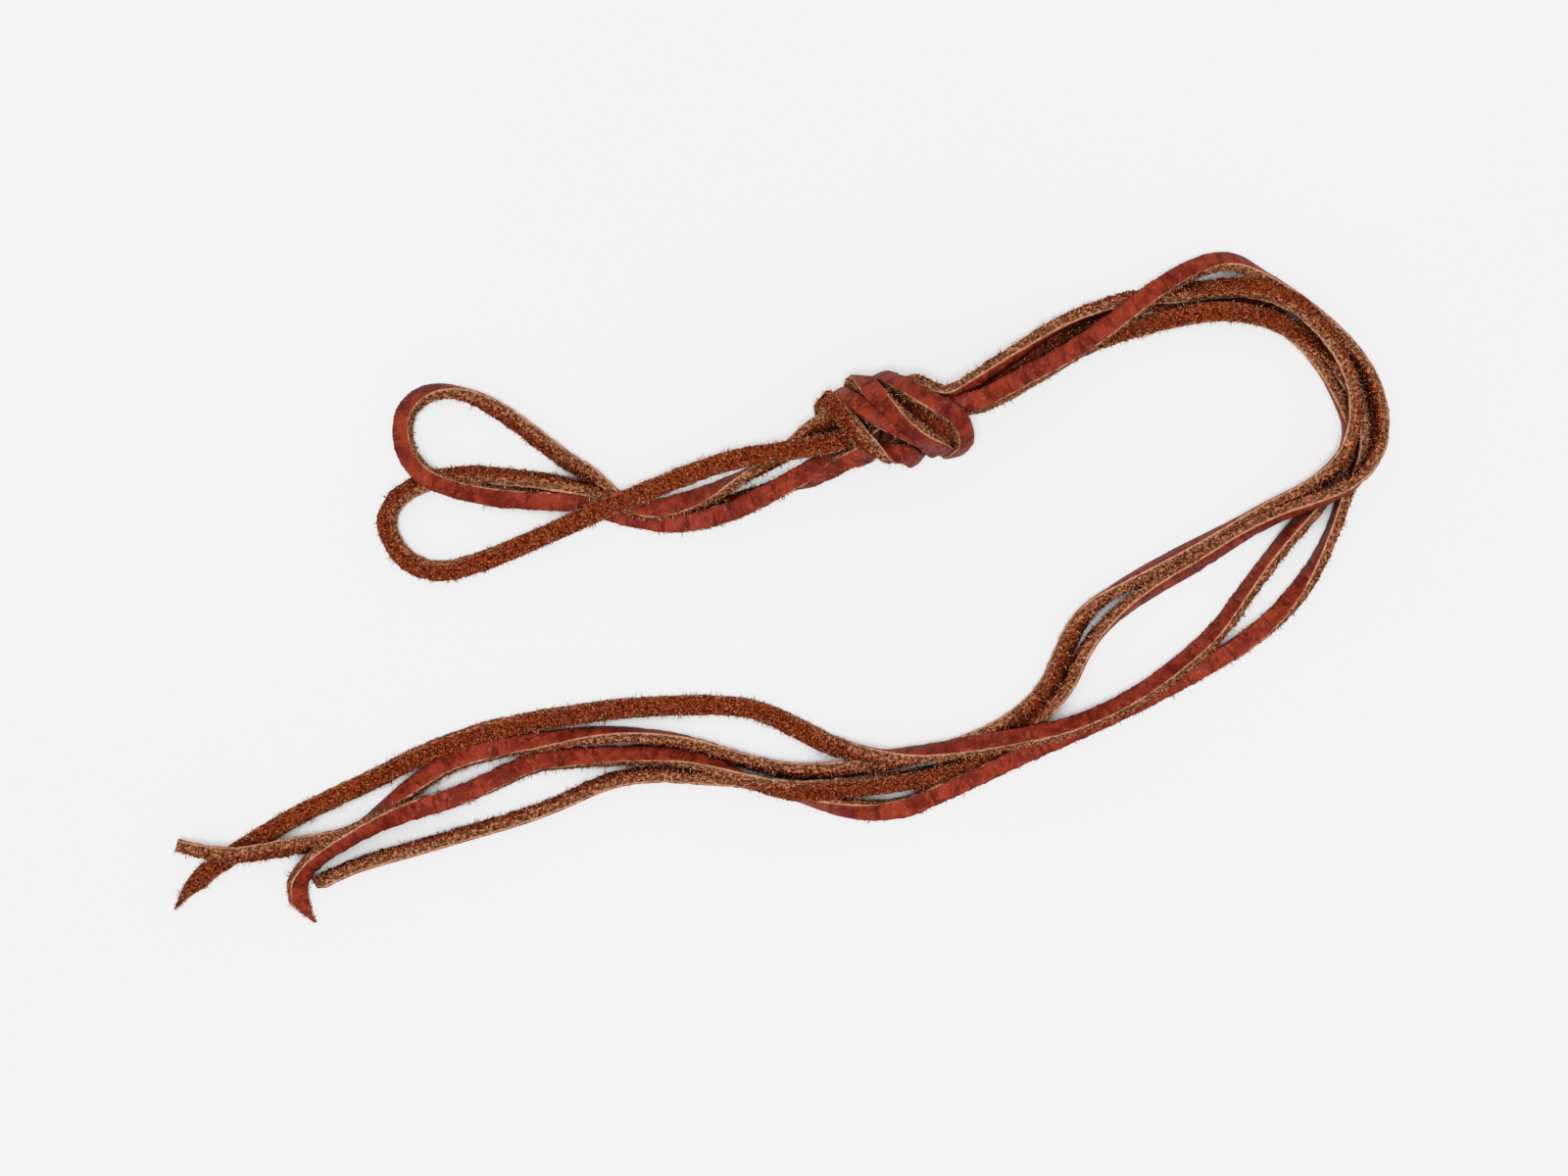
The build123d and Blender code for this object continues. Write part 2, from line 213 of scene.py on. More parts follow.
LACE_2_BIGHT = [
    (0.0062, 0.023, 0.0099, -180), (0.0003, 0.0221, 0.008, -180), (-0.0064, 0.0212, 0.0064, -180),
    (-0.0139, 0.0188, 0.0056, -178), (-0.0209, 0.0159, 0.0051, -178),
    (-0.0276, 0.0133, 0.0046, -180), (-0.0343, 0.0102, 0.0038, -178),
    (-0.0412, 0.0072, 0.0024, -175), (-0.0482, 0.0043, 0.0015, -165),
    (-0.0544, 0.0029, 0.0014, -155), (-0.0597, 0.0052, 0.0015, -145),
    (-0.0625, 0.0103, 0.0015, -140), (-0.0611, 0.0148, 0.0015, -135),
    (-0.0561, 0.0176, 0.0015, -130), (-0.0498, 0.0187, 0.0015, -125),
    (-0.0428, 0.0182, 0.0015, -120), (-0.036, 0.0174, 0.0015, -112),
    (-0.0288, 0.0159, 0.0015, -100), (-0.0217, 0.0131, 0.0012, -150),
    (-0.0141, 0.0122, 0.001, -175), (-0.0067, 0.0142, 0.0012, -175),
    (-0.0008, 0.0162, 0.0022, -130), (0.0039, 0.0176, 0.0042, -55), (0.0077, 0.0193, 0.0072, -35),
]
LACE_2_TAIL_B = [
    (0.0304, 0.0298, 0.0044, -140), (0.0335, 0.032, 0.003, -165), (0.0366, 0.0342, 0.0022, -165),
    (0.04, 0.037, 0.0018, -150), (0.0437, 0.0396, 0.0018, -135), (0.0477, 0.0422, 0.0016, -138),
    (0.0521, 0.0446, 0.0015, -145), (0.0572, 0.046, 0.0014, -155), (0.0634, 0.0461, 0.0013, -165),
    (0.0704, 0.0458, 0.00125, -165), (0.0766, 0.0446, 0.0013, -155),
    (0.0815, 0.0408, 0.0014, -120), (0.0856, 0.0357, 0.0016, -98), (0.0883, 0.0305, 0.0016, -90),
    (0.0901, 0.0261, 0.0016, -85), (0.0893, 0.0212, 0.0016, -75), (0.087, 0.0168, 0.0015, -60),
    (0.084, 0.0131, 0.0014, -52), (0.08, 0.0084, 0.0015, -60), (0.0761, 0.0035, 0.0015, -60),
    (0.0725, -0.0016, 0.0015, -54), (0.0688, -0.0067, 0.0018, -48), (0.0639, -0.0109, 0.0028, -44),
    (0.0581, -0.0153, 0.0036, -44), (0.0513, -0.0191, 0.004, -44), (0.0442, -0.0218, 0.0042, -42),
    (0.0363, -0.0232, 0.0043, -40), (0.0285, -0.0246, 0.0042, -42), (0.0208, -0.0257, 0.004, -62),
    (0.0138, -0.0257, 0.0036, -110), (0.0084, -0.0244, 0.0019, -145),
    (0.0029, -0.0216, 0.0012, -165), (-0.0033, -0.0185, 0.00115, -175),
    (-0.0102, -0.0177, 0.00115, -180), (-0.018, -0.0179, 0.00115, -180),
    (-0.0257, -0.0184, 0.00115, -175), (-0.0335, -0.0195, 0.00115, -170),
    (-0.0412, -0.0208, 0.00115, -165), (-0.049, -0.0227, 0.00115, -165),
    (-0.0567, -0.0257, 0.00115, -165), (-0.0645, -0.0297, 0.00115, -170),
    (-0.0722, -0.0332, 0.00115, -175), (-0.0792, -0.0368, 0.00115, -180),
    (-0.0857, -0.041, 0.00115, -180), (-0.0907, -0.0441, 0.00115, -180),
    (-0.093, -0.047, 0.00115, -180), (-0.0942, -0.0505, 0.00115, -180),
]

# The four strands' ways through the knot, left to right, in the knot's own
# frame: (along, across, up), then the way that the grain faces there.
KNOT_STRANDS = [
    [
        (-0.0094, 0.0032, 0.0012, 0.2, 0.7, -0.7), (-0.0048, 0.0038, -0.0014, 0.3, 0.5, 0.3),
        (0, 0.0016, -0.004, 0.6, 0.2, 0.6), (0.0026, -0.0008, -0.0054, 1, 0, 0.3),
        (0.0028, -0.0038, -0.006, 1, -0.5, -0.5), (0.0016, -0.0064, -0.0036, 0.8, -1, -0.3),
        (0.0001, -0.0069, -0.0004, 0.5, -1, 0.1), (-0.0007, -0.0057, 0.0029, 0.4, -0.5, 0.75),
        (-0.0034, -0.005, 0.0048, 0.9, -0.1, 0.3), (-0.0059, -0.0028, 0.006, 0.8, 0.3, -0.45),
        (-0.0072, 0.0005, 0.0066, 0.7, 0.3, -0.65), (-0.008, 0.0038, 0.0056, 0.5, 0.1, -0.85),
        (-0.009, 0.0059, 0.0032, 0.5, -0.4, -0.8), (-0.0098, 0.0064, -0.0002, 0.3, -1, -0.2),
        (-0.0104, 0.005, -0.0036, 0.3, -0.6, 0.7), (-0.0106, 0.0018, -0.0052, 0.2, 0, 1),
        (-0.0102, -0.0016, -0.0044, 0.3, 0.3, 0.9), (-0.0086, -0.0038, -0.002, 0.5, -0.2, 0.7),
        (-0.0045, -0.0034, 0.0006, 0.2, -0.8, 0.5), (-0.001, -0.0004, 0.0018, 0.2, -0.9, 0.3),
        (0.0016, 0.0034, 0.0014, 0.3, -0.9, 0.3), (0.0044, 0.0046, 0.002, -0.3, -0.8, 0.4),
        (0.0066, 0.0019, 0.0026, -0.4, -0.8, 0.35), (0.0086, 0.0004, 0.0023, -0.1, -0.8, 0.5),
    ],
    [
        (-0.0092, -0.0006, 0.0028, 0, 0, -1), (-0.0048, 0.0016, 0.001, 0, 0.3, -1),
        (0, 0.0016, -0.0014, 0.3, 0.8, -0.3), (0.0042, 0.0004, -0.0024, 0.6, 0.8, 0.3),
        (0.0062, -0.0006, -0.0044, 1, 0.3, 0.4), (0.0066, -0.003, -0.0058, 1, -0.5, -0.4),
        (0.0052, -0.0056, -0.0044, 0.5, -1, -0.4), (0.0042, -0.007, -0.0012, 0.2, -1, -0.1),
        (0.0035, -0.0059, 0.002, 0.1, -0.8, 0.5), (0.0024, -0.0044, 0.0046, 0, -0.5, 0.9),
        (0.0003, -0.0023, 0.0062, 0, -0.2, 1), (-0.002, -0.0001, 0.007, 0, 0.1, 1),
        (-0.0043, 0.0027, 0.0065, 0, 0.3, 1), (-0.0064, 0.0051, 0.0046, -0.1, 0.7, 0.7),
        (-0.0074, 0.0063, 0.0014, -0.2, 1, 0.1), (-0.008, 0.0064, -0.0022, -0.3, 0.9, -0.2),
        (-0.009, 0.004, -0.0046, -0.7, 0.5, -0.5), (-0.0094, 0.001, -0.0048, -1, 0.1, -0.2),
        (-0.0086, -0.0012, -0.003, -0.8, 0, 0.5), (-0.005, -0.002, -0.0006, -0.3, 0.2, 1),
        (0, -0.0016, 0.001, 0, 0.2, 1), (0.0045, -0.0008, 0.0016, 0, 0.1, 1),
        (0.008, -0.0012, 0.002, 0, 0, 1), (0.0108, -0.0014, 0.0022, 0, -0.15, 1),
    ],
    [
        (-0.0094, -0.0019, -0.0002, 0, 0.2, 1), (-0.0046, 0.0004, 0.0016, 0, 0, 1),
        (0, 0.0017, 0.001, 0, 0, 1), (0.0044, 0.0016, -0.0004, 0.3, 0.3, 1),
        (0.0074, 0.001, -0.0018, 0.8, 0.3, 0.6), (0.0086, -0.0004, -0.0038, 1, 0.2, -0.2),
        (0.0086, -0.0028, -0.0056, 1, -0.4, -0.8), (0.0074, -0.0054, -0.0052, 0.5, -1, -0.5),
        (0.0062, -0.0074, -0.0022, -0.1, -1, 0), (0.0054, -0.0072, 0.0012, -0.2, -1, 0.3),
        (0.0044, -0.006, 0.0044, -0.3, -0.7, 0.6), (0.0026, -0.0044, 0.0069, -0.65, -0.2, 0.7),
        (0.0008, -0.0017, 0.0081, -0.75, 0.1, 0.65), (-0.0008, 0.0017, 0.0081, -0.7, 0.2, 0.7),
        (-0.0022, 0.0048, 0.0068, -0.25, 0.55, 0.7), (-0.0032, 0.007, 0.004, 0.3, 0.85, 0.4),
        (-0.0039, 0.0076, 0.0006, 0.4, 0.9, -0.1), (-0.0048, 0.007, -0.0028, 0.1, 0.8, -0.5),
        (-0.0062, 0.0042, -0.0054, -0.7, 0.5, -0.5), (-0.0068, 0.0014, -0.0052, -1, 0.2, 0),
        (-0.0046, -0.0004, -0.0028, -0.5, 0.1, -0.6), (0, -0.0016, -0.0014, 0, -0.3, -1),
        (0.0045, -0.0022, -0.0008, 0, -0.4, -0.9), (0.0085, -0.002, -0.001, 0, -0.4, -0.9),
        (0.0115, -0.0018, -0.0012, 0, -0.4, -0.9),
    ],
    [
        (-0.009, -0.0032, 0.0012, 0, -0.6, 0.8), (-0.0056, -0.0022, 0.0034, 0, -0.8, 0.3),
        (-0.0026, 0.0012, 0.004, -0.3, -0.8, -0.4), (0.0002, 0.0032, 0.0046, -0.3, -0.4, -1),
        (0.0024, 0.0019, 0.0052, 0.15, 0, -1), (0.0044, -0.0013, 0.0054, 0.15, 0, -1),
        (0.0061, -0.0045, 0.0046, 0.15, 0.1, -1), (0.0075, -0.0062, 0.0018, 0.3, 0.6, -0.7),
        (0.0086, -0.005, -0.0012, 0.6, 0.8, -0.2), (0.009, -0.0038, -0.0036, 0.9, 0.3, -0.2),
        (0.008, -0.005, -0.0056, 0.7, 0, -0.8), (0.0064, -0.007, -0.0048, 0.2, -0.8, -0.5),
        (0.006, -0.008, -0.0022, -0.2, -1, -0.1), (0.0072, -0.0079, 0.0004, 0, -1, 0.1),
        (0.0085, -0.0071, 0.0026, 0.4, -0.8, 0.5), (0.0089, -0.0054, 0.0044, 0.5, -0.4, 0.8),
        (0.0086, -0.0034, 0.0055, 0.4, 0, 0.9), (0.007, -0.0012, 0.0066, 0.35, 0.15, 0.9),
        (0.0052, 0.0008, 0.007, 0.3, 0.35, 0.85), (0.0033, 0.0029, 0.0067, 0.25, 0.6, 0.7),
        (0.0015, 0.0049, 0.0053, 0.1, 0.85, 0.5), (-0.0001, 0.0066, 0.0022, 0, 1, 0.1),
        (-0.0012, 0.0066, -0.0016, -0.2, 1, -0.2), (-0.0022, 0.0046, -0.0052, -0.9, 0.5, -0.3),
        (-0.0024, -0.0004, -0.0056, -0.8, 0.3, 0.3), (-0.0006, -0.0037, -0.0043, -0.3, -0.2, -0.9),
        (0.0045, -0.0024, -0.0036, 0, -0.8, -0.6), (0.009, -0.001, -0.0034, 0, -0.9, -0.5),
    ],
]

# How each end is cut: the length of the slant, and the side (-1 or 1) that
# reaches to the very end.
END_CUTS = {
    "lace_1": ((0.0012, -1), (0.0016, 1)),
    "lace_2": ((0.0040, -1), (0.0052, 1)),
}
TIP_SHARE = 0.02            # of the width, left at the very end


# --- Routes -----------------------------------------------------------------

def unit(vectors):
    return vectors / np.linalg.norm(vectors, axis=-1, keepdims=True)


def free_route(points):
    """Places and grain directions of a free route."""
    points = np.array(points)
    places = points[:, :3]
    travel = unit(np.gradient(places, axis=0) * (1, 1, 0))
    left = np.stack([-travel[:, 1], travel[:, 0], travel[:, 2]], axis=1)
    roll = np.radians(points[:, 3])[:, None]
    return places, np.cos(roll) * (0, 0, 1) + np.sin(roll) * left


def knot_route(strand):
    """Places and grain directions of one strand through the knot."""
    points = np.array(strand)
    cos_turn, sin_turn = math.cos(KNOT_TURN), math.sin(KNOT_TURN)
    turn = np.array([[cos_turn, sin_turn, 0], [-sin_turn, cos_turn, 0], [0, 0, 1]])
    return points[:, :3] @ turn + KNOT_CENTRE, unit(points[:, 3:] @ turn)


def backwards(route):
    places, faces = route
    return places[::-1], faces[::-1]


def joined(*routes):
    return tuple(np.concatenate(parts) for parts in zip(*routes))


def smooth_line(points):
    """Points read from the NURBS spline that has these as its control points."""
    curve = bpy.data.curves.new("route", "CURVE")
    curve.dimensions = "3D"
    curve.resolution_u = STEPS_PER_RUN
    spline = curve.splines.new("NURBS")
    spline.points.add(len(points) - 1)
    spline.points.foreach_set("co", np.c_[points, np.ones(len(points))].ravel())
    spline.order_u = 3
    spline.use_endpoint_u = True
    holder = bpy.data.objects.new("route", curve)
    mesh = bpy.data.meshes.new_from_object(holder)
    line = np.array([vertex.co for vertex in mesh.vertices])
    bpy.data.objects.remove(holder)
    bpy.data.curves.remove(curve)
    bpy.data.meshes.remove(mesh)
    return line


def in_scene(name, data):
    """A new object with this data, linked to the scene."""
    piece = bpy.data.objects.new(name, data)
    bpy.context.scene.collection.objects.link(piece)
    return piece


# --- The strip --------------------------------------------------------------

def outline():
    """The whole section, once round: its points, how far each one is round from
    the middle of the grain (less than 0 on the left), and the kind of leather
    from each one to the next."""
    right = np.array(HALF_OUTLINE) * (WIDTH / 2, THICKNESS / 2)
    steps = np.linalg.norm(np.diff(right, axis=0), axis=1)
    reach = np.concatenate([[0], np.cumsum(steps)])
    left = right[-2:0:-1] * (-1, 1)
    # From the middle of the flesh up the right side, then down the left side.
    section = np.concatenate([right[::-1], left[::-1]])
    place = np.concatenate([reach[::-1], -reach[1:-1]])
    zone = ["grain"] * (GRAIN_POINTS - 1) + ["edge"] * EDGE_POINTS
    zone += ["flesh"] * (len(right) - 1 - len(zone))
    return section, place, zone[::-1] + zone


class Strip:
    """One lace's frame along its line: centres, and the strip's own directions."""

    def __init__(self, route, end_cuts):
        places, faces = route
        self.centres = smooth_line(places)
        travel = unit(np.gradient(self.centres, axis=0))
        grain = smooth_line(faces)
        grain -= (grain * travel).sum(1, keepdims=True) * travel
        self.grain = unit(grain)
        self.side = np.cross(self.grain, travel)
        # No part of the section lies below the floor.
        half_height = (np.abs(self.side[:, 2]) * WIDTH + np.abs(self.grain[:, 2]) * THICKNESS) / 2
        self.centres[:, 2] = np.maximum(self.centres[:, 2], half_height)
        runs = np.linalg.norm(np.diff(self.centres, axis=0), axis=1)
        self.along = np.concatenate([[0], np.cumsum(runs)])
        self.low, self.high = self.slants(end_cuts)

    def slants(self, end_cuts):
        """The two sides of what is left at each place, from -1 to 1."""
        low = np.full(len(self.along), -1.0)
        high = np.full(len(self.along), 1.0)
        start = 1 - 2 * TIP_SHARE
        for distance, (slant, side) in zip((self.along, self.along[-1] - self.along), end_cuts):
            cut = np.clip((1 + start) * distance / slant - start, -1, 1)
            if side > 0:
                low = np.maximum(low, -cut)
            else:
                high = np.minimum(high, cut)
        return low, high

    def point(self, index, across, up):
        """Points on or near the strip, at fractional places along it."""
        below = np.minimum(index.astype(int), len(self.centres) - 2)
        share = (index - below)[:, None]

        def between(values):
            return values[below] * (1 - share) + values[below + 1] * share

        low, high = (between(v[:, None])[:, 0] for v in (self.low, self.high))
        across = (low + high) / 2 * WIDTH / 2 + across * (high - low) / 2
        side, grain = unit(between(self.side)), unit(between(self.grain))
        return between(self.centres) + side * across[:, None] + grain * up[:, None], side, grain


def smooth_noise(random, length, spacing, along):
    """Seeded noise from -1 to 1 that changes over the given spacing."""
    count = int(length / spacing) + 3
    return np.interp(along, np.arange(count) * spacing, random.uniform(-1, 1, count))


def roughen(random, strip, place):
    """How far each point of the skin stands out from the plain section."""
    length, rings = strip.along[-1], len(strip.along)
    proud = np.zeros((rings, len(place)))
    for j, rim in enumerate(np.abs(place)):
        if rim < GRAIN_END:
            proud[:, j] = CROWN * (1 - (rim / GRAIN_END) ** 2)
            continue
        height, spacing, finer = EDGE_ROUGHNESS if rim < FLESH_START else FLESH_ROUGHNESS
        waves = smooth_noise(random, length, spacing, strip.along)
        proud[:, j] = height * (waves + finer * random.uniform(-1, 1, rings))
    return proud


def crease(random, strip, place, proud):
    """Presses shallow slanting folds across the grain."""
    length = strip.along[-1]
    on_grain = np.abs(place) < GRAIN_END
    spots = np.cumsum(random.uniform(*CREASE_SPACING, int(length / CREASE_DRAW)))
    usual, swing, least = WORKED
    worked = usual + swing * smooth_noise(random, length, WORKED_SPACING, spots)
    for spot, share in zip(spots, np.clip(worked, least, 1)):
        if spot > length:
            break
        depth = CREASE_DEPTH * random.uniform(*CREASE_SHARE) * share
        broad = random.uniform(*CREASE_BREADTH)
        slant = random.uniform(-CREASE_SLANT, CREASE_SLANT)
        middle = random.uniform(-CREASE_MIDDLE, CREASE_MIDDLE) * GRAIN_END
        near = np.abs(strip.along - spot) < CREASE_REACH
        here = strip.along[near][:, None] - spot - slant * place[on_grain]
        fade = np.exp(-((place[on_grain] - middle) / (CREASE_FADE * GRAIN_END)) ** 2)
        proud[np.ix_(near, on_grain)] -= depth * np.exp(-((here / broad) ** 2)) * fade


def strip_skin(strip, random):
    """The points of the skin, ring by ring, rough and creased."""
    section, place, _ = outline()
    proud = roughen(random, strip, place)
    crease(random, strip, place, proud)
    step = np.roll(section, -1, axis=0) - np.roll(section, 1, axis=0)
    outward = unit(np.stack([step[:, 1], -step[:, 0]], axis=1))
    across = section[:, 0] + proud * outward[:, 0]
    up = section[:, 1] + proud * outward[:, 1]
    middle = (strip.low + strip.high)[:, None] / 2 * WIDTH / 2
    across = middle + across * (strip.high - strip.low)[:, None] / 2
    skin = (strip.centres[:, None] + strip.side[:, None] * across[..., None]
            + strip.grain[:, None] * up[..., None])
    skin[..., 2] = np.maximum(skin[..., 2], LOWEST)
    return skin


def strip_faces(rings, around):
    """Four-sided faces from each ring to the next, then a cap at each end."""
    ring, spot = np.meshgrid(np.arange(rings - 1), np.arange(around), indexing="ij")
    after = (spot + 1) % around
    faces = np.stack([ring * around + spot, ring * around + after,
                      (ring + 1) * around + after, (ring + 1) * around + spot], axis=-1)
    first, last = list(range(around)), list(range((rings - 1) * around, rings * around))
    return faces.reshape(-1, 4).tolist() + [first[::-1], last]


def skin_map(strip, place):
    """The map runs along the lace and round it, at one scale, so that every
    pattern keeps its real size.  The caps look like the middle of the cut edge."""
    start, stop = place, np.roll(place, -1)
    stop[-1] *= -1          # the last panel is on the left, up to the middle of the flesh
    round_map = np.stack([start, stop, stop, start], axis=1)
    before, after = strip.along[:-1], strip.along[1:]
    along_map = np.stack([before, before, after, after], axis=1)
    maps = np.stack(np.broadcast_arrays(along_map[:, None, :], round_map[None, :, :]), axis=-1)
    caps = np.zeros((2 * len(place), 2))
    caps[:, 1] = WIDTH / 2 + THICKNESS / 2
    return (np.concatenate([maps.reshape(-1, 2), caps]) * MAP_PER_METRE).ravel()


def strip_mesh(name, strip, random, materials):
    """The lace itself, one flat strip from cut end to cut end."""
    _, place, zones = outline()
    rings = len(strip.centres)
    skin = strip_skin(strip, random)
    mesh = bpy.data.meshes.new(name)
    mesh.from_pydata(skin.reshape(-1, 3).tolist(), [], strip_faces(rings, len(place)))
    for material in materials.values():
        mesh.materials.append(material)
    slots = {zone: index for index, zone in enumerate(materials)}
    kinds = [slots[zone] for zone in zones]
    mesh.polygons.foreach_set("material_index", kinds * (rings - 1) + [slots["edge"]] * 2)
    mesh.uv_layers.new(name="strip").uv.foreach_set("vector", skin_map(strip, place))
    mesh.shade_smooth()
    return in_scene(name, mesh)


# --- The nap ----------------------------------------------------------------

def fibre_roots(strip, random, per_mm2, at_corners):
    """Seeded places on the flesh and the edges, with the way that the skin faces
    and the length of the fibres there, as a share of the usual one."""
    section, place, zones = outline()
    panels = [j for j, zone in enumerate(zones) if zone != "grain"]
    ends = np.roll(section, -1, axis=0)
    reach = (np.abs(place[panels]) - WIDTH / 2) / THICKNESS
    if at_corners:
        corner, breadth = STRAY_CORNER
        thick = np.exp(-((reach - corner) / breadth) ** 2) + STRAYS_ELSEWHERE
    else:
        thick = np.clip(reach, PILE_LEAST, 1)
    area = np.linalg.norm(ends - section, axis=1)[panels] * thick
    count = int(per_mm2 * MM2_PER_M2 * strip.along[-1] * (WIDTH + 2 * THICKNESS))
    panel = np.array(panels)[random.choice(len(panels), count, p=area / area.sum())]
    spot = random.uniform(0, 1, count)[:, None]
    where = section[panel] * (1 - spot) + ends[panel] * spot
    edge = ends[panel] - section[panel]
    outward = unit(np.stack([edge[:, 1], -edge[:, 0]], axis=1))
    index = np.interp(random.uniform(0, strip.along[-1], count), strip.along,
                      np.arange(len(strip.along)))
    base, side, grain = strip.point(index, where[:, 0], where[:, 1])
    spacing, swing = TUFTS
    left, right = (smooth_noise(random, len(strip.along), spacing, index) for _ in range(2))
    tuft = 1 + swing * np.where(where[:, 0] > 0, left, right)
    return base, side * outward[:, :1] + grain * outward[:, 1:], tuft


def fibre_mesh(name, strip, random, materials, kind, bent):
    """Thin three-sided spikes, straight or bent once, that stand on the leather."""
    per_mm2, radius, length = kind
    base, normal, tuft = fibre_roots(strip, random, per_mm2, at_corners=bent)
    count = len(base)
    lean = unit(normal + random.normal(0, FIBRE_LEAN, (count, 3)))
    lean = np.where((lean * normal).sum(1, keepdims=True) < LEAST_RISE, normal, lean)
    bend = unit(lean + random.normal(0, STRAY_BEND, (count, 3)))
    length = length * tuft * random.gamma(FIBRE_GAMMA, 1 / FIBRE_GAMMA, count)
    length = np.minimum(length, LONGEST_FIBRE)[:, None]
    radius = (radius * random.uniform(*FIBRE_RADII, count))[:, None]
    one = unit(np.cross(lean, random.normal(0, 1, (count, 3))))
    two = np.cross(lean, one)
    base = base - normal * FIBRE_ROOT
    corners = [one * math.cos(turn) + two * math.sin(turn)
               for turn in (0, math.tau / 3, 2 * math.tau / 3)]
    if bent:
        share, size = STRAY_KNEE
        middle = base + lean * length * share
        tip = middle + bend * length * (1 - share)
        levels = [(base, 1.0), (middle, size)]
    else:
        tip = base + lean * length
        levels = [(base, 1.0)]
    rings = [centre + corner * radius * size for centre, size in levels for corner in corners]
    points = np.stack(rings + [tip], axis=1)
    points[..., 2] = np.maximum(points[..., 2], LOWEST)
    # One fibre's faces, by the numbers of its points, of which the tip is the last.
    each = len(rings) + 1
    start = np.arange(count)[:, None] * each
    top = each - 4
    triangles = [(top, top + 1, each - 1), (top + 1, top + 2, each - 1),
                 (top + 2, top, each - 1), (2, 1, 0)]
    quads = [(0, 1, 4, 3), (1, 2, 5, 4), (2, 0, 3, 5)] if bent else []
    faces = [face for shape in quads + triangles for face in (start + shape).tolist()]
    mesh = bpy.data.meshes.new(name)
    mesh.from_pydata(points.reshape(-1, 3).tolist(), [], faces)
    for material in materials:
        mesh.materials.append(material)
    shade = random.choice(len(materials), count, p=DYE_SHARES)
    mesh.polygons.foreach_set("material_index", np.tile(shade, len(quads + triangles)).tolist())
    mesh.shade_smooth()
    return in_scene(name, mesh)


# --- Materials --------------------------------------------------------------

def srgb(red, green, blue):
    """A colour given as it looks on screen, 0 to 255, as linear light."""
    levels = (c / 255 for c in (red, green, blue))
    return tuple(c / 12.92 if c <= 0.04045 else ((c + 0.055) / 1.055) ** 2.4 for c in levels) + (1,)


def grey(level):
    """A grey given as linear light."""
    return (level, level, level, 1)


class Nodes:
    """Small helpers round one material's node tree."""

    def __init__(self, name):
        self.material = bpy.data.materials.new(name)
        self.material.use_nodes = True
        self.tree = self.material.node_tree
        self.shader = self.tree.nodes["Principled BSDF"]

    def add(self, kind, **settings):
        node = self.tree.nodes.new(kind)
        for key, value in settings.items():
            setattr(node, key, value)
        return node

    def put(self, value, socket):
        if isinstance(value, bpy.types.NodeSocket):
            self.tree.links.new(value, socket)
        else:
            socket.default_value = value

    def math(self, operation, first, second):
        node = self.add("ShaderNodeMath", operation=operation)
        self.put(first, node.inputs[0])
        if second is not None:
            self.put(second, node.inputs[1])
        return node.outputs[0]

    def times(self, first, second):
        return self.math("MULTIPLY", first, second)

    def less(self, first, second):
        return self.math("SUBTRACT", first, second)

    def mix(self, share, first, second):
        node = self.add("ShaderNodeMix", data_type="RGBA")
        self.put(share, node.inputs["Factor"])
        self.put(first, node.inputs["A"])
        self.put(second, node.inputs["B"])
        return node.outputs["Result"]

    def ramp(self, value, low, high):
        """0 below low, 1 above high, and smooth between them."""
        node = self.add("ShaderNodeMapRange", interpolation_type="SMOOTHSTEP")
        self.put(value, node.inputs["Value"])
        self.put(low, node.inputs["From Min"])
        self.put(high, node.inputs["From Max"])
        return node.outputs["Result"]

    def place(self):
        return self.add("ShaderNodeTexCoord").outputs["Object"]

    def strip_map(self):
        return self.add("ShaderNodeUVMap", uv_map="strip").outputs["UV"]

    def stretched(self, vector, scale):
        node = self.add("ShaderNodeMapping")
        self.put(vector, node.inputs["Vector"])
        node.inputs["Scale"].default_value = scale
        return node.outputs["Vector"]

    def noise(self, vector, scale, detail=3.0, roughness=0.55, distortion=0.0):
        node = self.add("ShaderNodeTexNoise")
        self.put(vector, node.inputs["Vector"])
        node.inputs["Scale"].default_value = scale
        node.inputs["Detail"].default_value = detail
        node.inputs["Roughness"].default_value = roughness
        node.inputs["Distortion"].default_value = distortion
        return node.outputs["Fac"]

    def bump(self, height, distance, strength, under=None):
        node = self.add("ShaderNodeBump")
        node.inputs["Strength"].default_value = strength
        node.inputs["Distance"].default_value = distance
        self.put(height, node.inputs["Height"])
        if under is not None:
            self.put(under, node.inputs["Normal"])
        return node.outputs["Normal"]

    def with_painted_shade(self, colour, dark, gaps):
        """The colour with painted shade: it sinks to a dark one in the gaps between strands, where
        shade falls.
        """
        reach, low, high = gaps
        # How open the point is to its neighbours sets how much painted shade it gets.
        node = self.add("ShaderNodeAmbientOcclusion", samples=PAINTED_SHADE_SAMPLES)
        node.inputs["Distance"].default_value = reach
        return self.mix(self.ramp(node.outputs["AO"], low, high), dark, colour)

    def finish(self, colour, roughness, normal, specular):
        self.put(colour, self.shader.inputs["Base Color"])
        self.put(roughness, self.shader.inputs["Roughness"])
        self.put(normal, self.shader.inputs["Normal"])
        self.shader.inputs["Specular IOR Level"].default_value = specular
        return self.material


